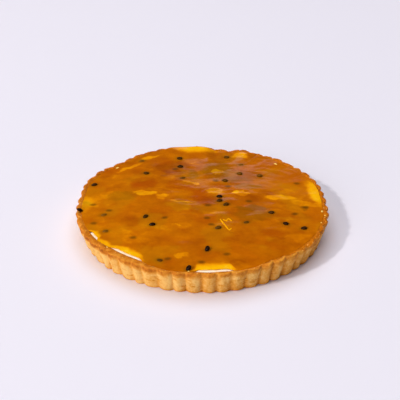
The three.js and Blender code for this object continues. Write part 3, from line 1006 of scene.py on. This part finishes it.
LYING = SeedGroup(0.5, 6, (
    Seed(-107, 36, 20, 0.1), Seed(-57, 58, -20, 0.3), Seed(-46, -40, 8), Seed(-53, -26, 60, 0.2),
    Seed(-24, 90, -12, 0.2), Seed(-23, 72, -8, 0.1), Seed(25, 96, -40, 0.5),
    Seed(22, 42, -25, 0.45), Seed(16, 10, -6), Seed(16, 2, 12, 0.2), Seed(22, -5, 28, 0.3),
    Seed(14, -46, 24, 0.5), Seed(37, 57, -10, 0.65), Seed(57, 53, -14, 0.65),
    Seed(64, -19, -10, 0.2), Seed(76, -38, -34), Seed(92, -45, 6, 0.1),
))
HALF_SUNK = SeedGroup(-0.5, 2, (
    Seed(-63, 86, 0, 0.8), Seed(-92, -22, 15, 0.8), Seed(-88, -49, 10, 0.8),
    Seed(-37, -96, -24, 0.4), Seed(-20, 48, 10, 0.5), Seed(39, 77, 10, 0.9), Seed(40, -36, 20, 0.5),
))
STANDING = SeedGroup(1.2, 32, (Seed(4, -81, 70), Seed(-12, -109, 50)))
LEANING = SeedGroup(1.3, -24, (Seed(-115, -15, 5),))
SUNK = (
    Seed(25, 31, 0), Seed(5, -6, 10), Seed(44, 2, 0), Seed(86, -20, 20), Seed(8, -40, -10),
    Seed(4, -29, 0), Seed(-30, -94, 10), Seed(-35, -28, 20), Seed(-88, -14, 0), Seed(-104, -3, 10),
    Seed(-100, -36, 0), Seed(-62, -61, 0), Seed(-1, -99, 0), Seed(21, -87, 10), Seed(13, 42, 0),
    Seed(-28, 67, 0), Seed(93, 38, 0), Seed(97, -8, 0),
)


@dataclass
class JellyTopping:
    """The layer of orange jelly over the cream."""

    form: TartForm
    finish: JellyFinish = field(default_factory=JellyFinish)
    columns: int = 512
    top_rings: int = 108
    under_rings: int = 6
    stretch: tuple[float, float, float] = (0.6, 1, 1)
    wave: float = 0.15
    spill: float = 0.22
    flakes: int = 90
    flake_seed: int = 5
    flake_reach: float = 108
    deep_tone: float = 0.66
    thin_tone: float = 0.12
    stray: float = 3.2
    glows: tuple[Glow, ...] = (
        Glow(-85, 9.5, 12.5, 0.95, Ease(0.8, 1.15)), Glow(-127, 9.5, 9.5, 0.95),
        Glow(-138, 13, 6.5, 0.75), Glow(-150.5, 5.5, 7, 0.85), Glow(-178, 11, 13, 0.45),
        Glow(-173, 8, 13, 0.3), Glow(94.5, 13, 18, 0.86), Glow(69, 6, 10, 0.3),
        Glow(10, 14, 13, 0.8),
    )
    patches: tuple[Patch, ...] = (
        Patch(-85, -6, 0, 34, 60, -0.07, edge=0.6), Patch(92, 22, 0, 24, 60, -0.06, edge=0.6),
        Patch(-77, 12, 0, 15, 9, 0.04, olive=0.35),
        Patch(-56, 18, -8, 13, 4.5, -0.28, olive=0.1, edge=0.15),
        Patch(-39, 11, 30, 6, 5, -0.22, edge=0.15),
        Patch(-57, 36, 6, 12, 7, 0.18, edge=0.4, red=0.35), Patch(-78, 40, 10, 22, 13, -0.05),
        Patch(-22, -7, -20, 12, 9, -0.2, olive=0.3), Patch(37, 54, -4, 24, 12, 0.12, olive=0.15),
        Patch(90, 16, 0, 18, 14, -0.07), Patch(42, -74, 0, 16, 10, -0.05),
        Patch(30, -104, 4, 11, 5, -0.12), Patch(-68, -58, -25, 20, 10, -0.13, edge=0.4),
        Patch(-21, 2, -14, 12, 1.8, -0.28, edge=0.15),
        # The long thin lighter streaks at the back left are painted reflection streaks.
        Patch(-11, 38, -24, 10, 2.2, -0.3, edge=0.15), Patch(-74, 72, 38, 15, 3.2, -0.27),
        Patch(-55, 92, 30, 13, 3, -0.24), Patch(-82, 52, 30, 9, 5, -0.06),
        Patch(-10, 56, 0, 6, 11, 0.06, olive=0.4), Patch(-112, -3, 0, 5, 9, -0.18, olive=0.3),
        Patch(-98, 4, 0, 12, 13, -0.12), Patch(-66, -33, 0, 10, 10, 0.1),
        Patch(-60, -12, 4, 24, 6, 0.07), Patch(-30, 72, 0, 18, 14, 0.2),
        Patch(-58, 64, 14, 16, 6, 0.05), Patch(-32, 20, 0, 20, 8, -0.08, edge=0.4),
        Patch(15, 2, 0, 17, 9, 0.12, edge=0.4), Patch(-2, 13, 0, 8, 10, 0.14, edge=0.5, red=0.35),
        Patch(39, 97, -8, 9, 5.5, -0.4), Patch(15, 61, -30, 6.5, 5, -0.42, edge=0.15),
        Patch(15, 66, 0, 14, 17, 0.04, olive=0.45), Patch(13, 22, 0, 9, 6, -0.32, olive=0.15),
        Patch(38, 17, 0, 9, 5.5, -0.28, edge=0.15), Patch(33, 18, 0, 3.2, 3.2, -0.24),
        Patch(45, 31, 0, 13, 6, 0.04, olive=0.45), Patch(28, 46, -4, 22, 6, 0.1, olive=0.35),
        Patch(76, 9, -4, 15, 5, -0.24, edge=0.15), Patch(98, -2, -12, 14, 5, -0.2),
        Patch(111, 8, 8, 4, 9, -0.24), Patch(106, 23, 10, 4, 6, -0.2),
        Patch(103, 40, 22, 5, 12, -0.12), Patch(22, -38, 20, 4, 8, -0.1, olive=0.2),
        Patch(47, -11, 0, 16, 5, 0.2, olive=0.5), Patch(48, -22, 0, 17, 11, 0.1, olive=0.35),
        Patch(5, 3, 0, 11, 9, 0.16, edge=0.5, red=0.25), Patch(0, -14, 0, 12, 7, 0.12),
        Patch(11, -19, 4, 9, 3, -0.15), Patch(20, -30, -30, 8, 6, -0.08, olive=0.3),
        Patch(82, 33, -10, 22, 13, -0.09, edge=0.4),
        Patch(66, 78, -14, 16, 11, 0.0, edge=0.5, red=0.2),
        Patch(88, 56, -30, 16, 14, -0.02, edge=0.5, red=0.25),
        Patch(-16, 26, -20, 9, 4, 0.04, red=0.3),
        Patch(-92, 62, 40, 12, 7, 0.02, edge=0.5, red=0.2), Patch(97, -9, 0, 4, 4, 0.14, olive=0.4),
        Patch(77, -28, -8, 11, 2.5, -0.14, olive=0.2), Patch(-45, -48, 0, 14, 10, -0.11),
        Patch(-18, -42, 0, 6, 5, -0.1), Patch(-18, -89, 0, 5.5, 4, -0.2),
        Patch(63, -54, 0, 11, 6, 0.1, edge=0.5, red=0.25), Patch(84, -60, 20, 12, 6, -0.12),
        Patch(30, -66, 0, 20, 9, 0.06), Patch(22, -96, 4, 28, 8, 0.04),
        Patch(-62, -76, -28, 16, 7, -0.06),
    )

    def build(self) -> Object:
        """Builds, dresses and registers the jelly.

        Returns:
            The jelly's object.
        """
        form = self.form
        angle = 2 * math.pi * np.arange(self.columns) / self.columns
        bare = form.bare(angle)
        low = form.fill(angle, form.cream_top(angle, form.fill(angle)) + form.gap) - bare
        top = form.fill(angle) - bare + self.spill
        rings = []
        for share in np.linspace(0.1, 1, self.under_rings):
            rings.append(ring(angle, share * low, form.cream_top(angle, share * low) + form.gap))
        for share in 1 - np.linspace(0, 1, self.top_rings, endpoint=False) ** 1.15:
            rings.append(ring(angle, share * top, form.jelly_top(angle, share * top)))
        middle = np.zeros(1)
        under = form.cream_top(middle, middle)[0] + form.gap
        over = form.jelly_top(middle, middle)[0]
        jelly = LatheSkin("Fruit_jelly", rings, (0, 0, under), (0, 0, over)).build()
        self._wave(jelly)
        self._colour(jelly)
        dress(jelly, self.finish.material())
        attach(jelly, BODY)
        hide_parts("fruit_jelly")
        return jelly

    def _wave(self, jelly: Object) -> None:
        """Lets the top rise and fall a little, as set jelly does over fruit."""
        points = places(jelly)
        angle, radius = polar(points)
        top = self.form.jelly_top(angle, radius) - points[:, 2] < 0.05
        inside = smooth(self.form.inwards(angle, radius), 0.0, 6.0)
        flat = points * np.array((1, 1, 0)) * np.array(self.stretch)
        points[:, 2] += top * inside * self.wave * rough(flat, 14.0, 2, 2.2)
        put_places(jelly, points)

    def _flakes(self) -> list[Slice]:
        """Scatters thin flakes of fruit, whose rise stands for their change of tone."""
        draw = random.Random(self.flake_seed)
        flakes = []
        for _ in range(self.flakes):
            angle = draw.uniform(-math.pi, math.pi)
            out = self.flake_reach * math.sqrt(draw.random())
            x, y, size = out * math.cos(angle), out * math.sin(angle), draw.uniform(4, 15)
            tone = draw.choice((-1, 1)) * draw.uniform(0.05, 0.16)
            turn, width = draw.uniform(-35, 35), draw.uniform(0.3, 0.6) * size
            flakes.append(Slice(x, y, turn, size, width, tone))
        return flakes

    def _thin(self, x: Numbers, y: Numbers) -> Numbers:
        """Says how much the cream shines through: 1 at the edge of a thin place, 0 elsewhere."""
        angle, radius = polar(np.stack((x, y), 1))
        away = self.form.inwards(angle, radius)
        thin = np.zeros_like(angle)
        for glow in self.glows:
            near = glow.near(angle, glow.ease)
            out = away / np.maximum(glow.wide * near, 0.01)
            thin = np.maximum(thin, glow.strength * near * (1 - smooth(out, 0.3, 1.0)))
        return thin

    def _colour(self, jelly: Object) -> None:
        """Stores the tone and colours of the jelly at each vertex."""
        flat = places(jelly) * np.array((1, 1, 0))
        x, y = flat[:, 0], flat[:, 1]
        stray_x, stray_y = (self.stray * rough(flat, 9.0, 4, start) for start in (11.0, 13.0))
        thin = self._thin(x + 0.4 * stray_x, y + 0.4 * stray_y)
        near_x, near_y = x + stray_x, y + stray_y
        tone = blend(self.deep_tone, self.thin_tone, thin)
        olive, red, sunk = np.zeros_like(x), np.zeros_like(x), np.zeros_like(x)
        for patch in self.patches:
            strength = patch.strength(near_x, near_y)
            tone += patch.tone * strength * (1 - thin)
            olive = np.maximum(olive, patch.olive * strength)
            red = np.maximum(red, patch.red * strength)
        for flake in self._flakes():
            out, across = flake.place(near_x, near_y)
            tone += flake.rise * (1 - thin) * (1 - smooth(out, 0.88, 1.04)) * (0.5 + 0.5 * across)
        tone += (1 - thin) * 0.12 * rough(flat * np.array(self.stretch), 14.0, 3, 4.4)
        keep_values(jelly, "tone", np.clip(tone, 0, 1))
        red += 0.2 * smooth(rough(flat, 19.0, 3, 33.0), 0.0, 0.6)
        mustard = 0.3 * smooth(rough(flat, 24.0, 4, 41.0), 0.0, 0.55)
        keep_values(jelly, "red", red * (1 - thin))
        keep_values(jelly, "mustard", np.maximum(mustard - red, 0) * (1 - thin))
        for seed in SUNK:
            sunk = np.maximum(sunk, 0.66 * seed.around(3.0, 2.2, 0.6).strength(x, y))
        # Round each seed that stands out, a darker patch and an olive halo: partly the seed and
        # pulp seen in the jelly, partly painted contact shade.
        for seed in (*LYING.seeds, *HALF_SUNK.seeds, *STANDING.seeds):
            sunk = np.maximum(sunk, 0.34 * seed.around(3.7, 2.8, 0.5).strength(x, y))
            olive = np.maximum(olive, 0.3 * seed.around(6.0, 4.5, 0.6).strength(x, y))
        keep_values(jelly, "sunk", sunk)
        keep_values(jelly, "olive", olive)


@dataclass
class SeedScatter:
    """The seeds that stand out of the jelly, as one joined piece."""

    form: TartForm
    finish: SeedFinish = field(default_factory=SeedFinish)
    half: tuple[float, float, float] = (2.9, 2.1, 1.3)
    blunt: float = 0.18
    pit: float = 0.05
    segments: int = 28
    rings: int = 18

    def build(self) -> Object:
        """Builds one seed, copies it to every place, joins the copies and dresses them.

        Returns:
            The seeds' object.
        """
        pattern = self._pattern()
        copies = []
        for group in (LYING, HALF_SUNK, STANDING, LEANING):
            for seed in group.seeds:
                angle, radius = polar(np.array([(seed.x, seed.y)]))
                top = self.form.jelly_top(angle, radius)[0]
                place = Vector((seed.x, seed.y, top + group.proud)) * MM
                turn = (0, math.radians(-group.tilt), math.radians(seed.turn))
                copies.append(copied(pattern, place, turn, film=seed.film))
        bpy.data.objects.remove(pattern)
        seeds = join(copies, "Passion_fruit_seeds")
        dress(seeds, self.finish.material())
        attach(seeds, BODY)
        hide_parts("fruit_jelly")
        return seeds

    def _pattern(self) -> Object:
        """Makes one seed: an egg shape with pits, flat and blunt at one end."""
        clear_selection()
        bpy.ops.mesh.primitive_uv_sphere_add(segments=self.segments, ring_count=self.rings)
        pattern = bpy.context.object
        for vertex in pattern.data.vertices:
            pits = 1 + self.pit * noise.noise(vertex.co * 4.0)
            along, side, up = vertex.co
            side *= 1 + self.blunt * along
            egg = Vector((along * self.half[0], side * self.half[1], up * self.half[2]))
            vertex.co = egg * pits * MM
        return pattern


@dataclass
class Crumbs:
    """Loose flakes baked onto the rim of the pastry."""

    form: TartForm
    finish: PastryFinish = field(default_factory=PastryFinish)
    count: int = 150
    seed: int = 11
    least: float = 0.3
    most: float = 0.7
    sunk: float = 0.1
    from_inside: float = 0.6
    from_outside: float = 1.2

    def build(self) -> Object:
        """Builds, dresses and registers the crumbs.

        Returns:
            The crumbs' object.
        """
        draw = random.Random(self.seed)
        clear_selection()
        bpy.ops.mesh.primitive_ico_sphere_add(subdivisions=1, radius=MM)
        pattern = bpy.context.object
        for vertex in pattern.data.vertices:
            vertex.co *= 1 + 0.5 * noise.noise(vertex.co / MM * 1.7)
        copies = []
        for _ in range(self.count):
            place = self._place(draw)
            if place is None:
                continue
            turn = [draw.uniform(0, 6) for _ in range(3)]
            size = [draw.uniform(self.least, self.most) for _ in range(3)]
            toast = draw.uniform(0.1, 0.8)
            copies.append(copied(pattern, place, turn, size, toast=toast, soaked=0))
        bpy.data.objects.remove(pattern)
        crumbs = join(copies, "Pastry_crumbs")
        dress(crumbs, self.finish.material(), Shading.FLAT)
        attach(crumbs, BODY)
        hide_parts("pastry_shell")
        return crumbs

    def _place(self, draw: random.Random) -> Vector | None:
        """Draws a place on the rim, sunk a little into the pastry."""
        angle, share = np.array([draw.uniform(-math.pi, math.pi)]), draw.random()
        rim = self.form.rim(angle)
        inner = self.form.inside(angle, rim) + self.from_inside
        radius = blend(inner, self.form.crest(angle, rim) - self.from_outside, share)
        x, y, _ = ring(angle, radius, 0)[0].tolist()
        place = seen_point("Pastry_shell", x, y)
        return None if place is None else place - Vector((0, 0, self.sunk * MM))


@dataclass
class JellyDrops:
    """Small glossy drops and threads of jelly on the rim and on the top."""

    form: TartForm
    finish: JellyFinish = field(default_factory=JellyFinish)
    drop_height: float = 0.7
    # Painted highlight: the drops are coloured almost white, like glints; their gloss mirrors the
    # key light too.
    drop_highlight_tone: float = 0.02
    thread_height: float = 0.6
    thread_tone: float = 0.27
    sunk: float = 0.35
    drops: tuple[Oval, ...] = (
        Oval(-87, 71, 40, 2.0, 1.2), Oval(75, 79, -40, 2.0, 1.1), Oval(112, -15, 80, 1.7, 1.1),
        Oval(114, -23, 40, 1.1, 0.8), Oval(109, -35, 70, 0.9, 0.7), Oval(-12, -112, 0, 0.9, 0.6),
        Oval(-84, -76, -50, 1.1, 0.7),
    )
    threads: tuple[Oval, ...] = (
        Oval(19.7, -39.4, -68, 12.0, 1.0), Oval(25.0, -48.0, 56, 2.8, 0.9),
        Oval(20.6, -32.5, -34, 3.0, 0.9), Oval(22.9, -31.2, 67, 3.4, 0.8),
        Oval(25.2, -31.2, -58, 3.6, 0.8),
    )

    def build(self) -> Object:
        """Builds, dresses and registers the drops and threads.

        Returns:
            The joined object.
        """
        clear_selection()
        bpy.ops.mesh.primitive_uv_sphere_add(segments=16, ring_count=10, radius=MM)
        pattern = bpy.context.object
        laid = [(drop, self.drop_height * drop.width, self.drop_highlight_tone) for drop in self.drops]
        laid += [(thread, self.thread_height, self.thread_tone) for thread in self.threads]
        copies = []
        for drop, height, tone in laid:
            points = [seen_point(name, drop.x, drop.y) for name in ("Fruit_jelly", "Pastry_shell")]
            place = max((point for point in points if point is not None), key=lambda point: point.z)
            place = place - Vector((0, 0, self.sunk * height * MM))
            size = (drop.length, drop.width, height)
            values = {"tone": tone, "olive": 0, "mustard": 0, "red": 0, "sunk": 0}
            copies.append(copied(pattern, place, (0, 0, math.radians(drop.turn)), size, **values))
        bpy.data.objects.remove(pattern)
        drops = join(copies, "Jelly_drops")
        dress(drops, self.finish.material())
        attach(drops, BODY)
        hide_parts("fruit_jelly")
        return drops


@dataclass(frozen=True)
class Lamp:
    """A square area light that faces the tart: metres, watts and whether gloss mirrors it."""

    name: str
    place: tuple[float, float, float]
    size: float
    power: float
    colour: tuple[float, float, float]
    mirrored: bool = False

    def build(self) -> None:
        """Adds the light."""
        data = bpy.data.lights.new(self.name, "AREA")
        data.size, data.energy, data.color = self.size, self.power, self.colour
        lamp = bpy.data.objects.new(self.name, data)
        bpy.context.scene.collection.objects.link(lamp)
        lamp.location = self.place
        lamp.rotation_euler = (-Vector(self.place)).to_track_quat("-Z", "Y").to_euler()
        lamp.visible_glossy = self.mirrored


@dataclass
class Studio:
    """The pale floor, the soft lights and the camera."""

    floor_colour: Colour = linear(235, 232, 242)
    floor_size: float = 14.0
    distance: float = 0.84
    elevation: float = 31.83
    focal: float = 869.6
    frame_size: float = 400.0
    centre: tuple[float, float] = (202.67, 223.16)
    sensor: float = 36.0
    pale_place: tuple[float, float, float] = (0.038, 0.887, 0.457)
    pale_flat: float = 2.4
    pale_edge: tuple[float, float] = (0.015, 0.088)
    pale: Colour = (0.86, 0.79, 0.9, 1.0)
    dim: Colour = (0.02, 0.02, 0.02, 1.0)
    lamps: tuple[Lamp, ...] = (
        Lamp("Key_light", (-3.7, -2.3, 3.5), 0.45, 142.0, (1.0, 0.98, 0.96), mirrored=True),
        Lamp("Top_light", (0.0, 2.0, 7.0), 9.0, 520.0, (0.98, 0.97, 1.0)),
        Lamp("Window", (-4.5, -6.3, 2.7), 4.3, 236.0, (1.0, 0.99, 1.0)),
    )

    def build(self) -> None:
        """Adds the floor, lights, surroundings and camera."""
        self._floor()
        for lamp in self.lamps:
            lamp.build()
        self._surroundings()
        self._camera()

    def _floor(self) -> None:
        """Adds a wide floor just under the tart."""
        clear_selection()
        bpy.ops.mesh.primitive_plane_add(size=self.floor_size, location=(0, 0, 0))
        floor = bpy.context.object
        floor.name = "Floor"
        sheet = NodeSheet("floor")
        floor.data.materials.append(sheet.done(self.floor_colour, 0.9, Specular_IOR_Level=0.1))

    def _surroundings(self) -> None:
        """Makes the room dim, with one flat pale place behind the tart that the jelly mirrors."""
        world = bpy.data.worlds.new("Room")
        bpy.context.scene.world = world
        world.use_nodes = True
        tree = NodeTree(world.node_tree)
        way = tree.add("TexCoord").outputs["Generated"]
        flat = tree.add("VectorMath", {0: way, 1: (1, 1, self.pale_flat)}, operation="MULTIPLY")
        centre = (*self.pale_place[:2], self.pale_flat * self.pale_place[2])
        inputs = {0: flat.outputs["Vector"], 1: centre}
        away = tree.add("VectorMath", inputs, operation="DISTANCE").outputs["Value"]
        mirrored = tree.ramp(away, *zip(self.pale_edge, (self.pale, self.dim)))
        seen = tree.add("LightPath").outputs["Is Camera Ray"]
        room = tree.nodes["Background"].inputs
        tree.put(room["Color"], tree.mixed(seen, mirrored, self.floor_colour))
        tree.put(room["Strength"], 1.0)

    def _camera(self) -> None:
        """Adds the camera at the height and distance of the photograph's."""
        data = bpy.data.cameras.new("Camera")
        data.sensor_width = self.sensor
        data.lens = self.sensor * self.focal / self.frame_size
        half = 0.5 * self.frame_size
        data.shift_x = (half - self.centre[0]) / self.frame_size
        data.shift_y = (self.centre[1] - half) / self.frame_size
        camera = bpy.data.objects.new("Camera", data)
        bpy.context.scene.collection.objects.link(camera)
        rise = math.radians(self.elevation)
        camera.location = (0, -self.distance * math.cos(rise), self.distance * math.sin(rise))
        camera.rotation_euler = (math.pi / 2 - rise, 0, 0)
        bpy.context.scene.camera = camera


def main() -> None:
    """Builds the tart and its surroundings, and logs each piece's face count."""
    logging.basicConfig(level=logging.INFO, format="%(name)s: %(message)s")
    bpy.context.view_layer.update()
    form = TartForm()
    makers: tuple[Callable[[], Object], ...] = (
        PastryShell(form).build,
        CreamFilling(form).build,
        JellyTopping(form).build,
        SeedScatter(form).build,
        Crumbs(form).build,
        JellyDrops(form).build,
    )
    for make in makers:
        piece = make()
        log.info("%s: %d faces", piece.name, len(piece.data.polygons))
    Studio().build()
    scene = bpy.context.scene
    scene.view_settings.view_transform = "Standard"
    scene.view_settings.look = "None"


if __name__ == "__main__":
    main()
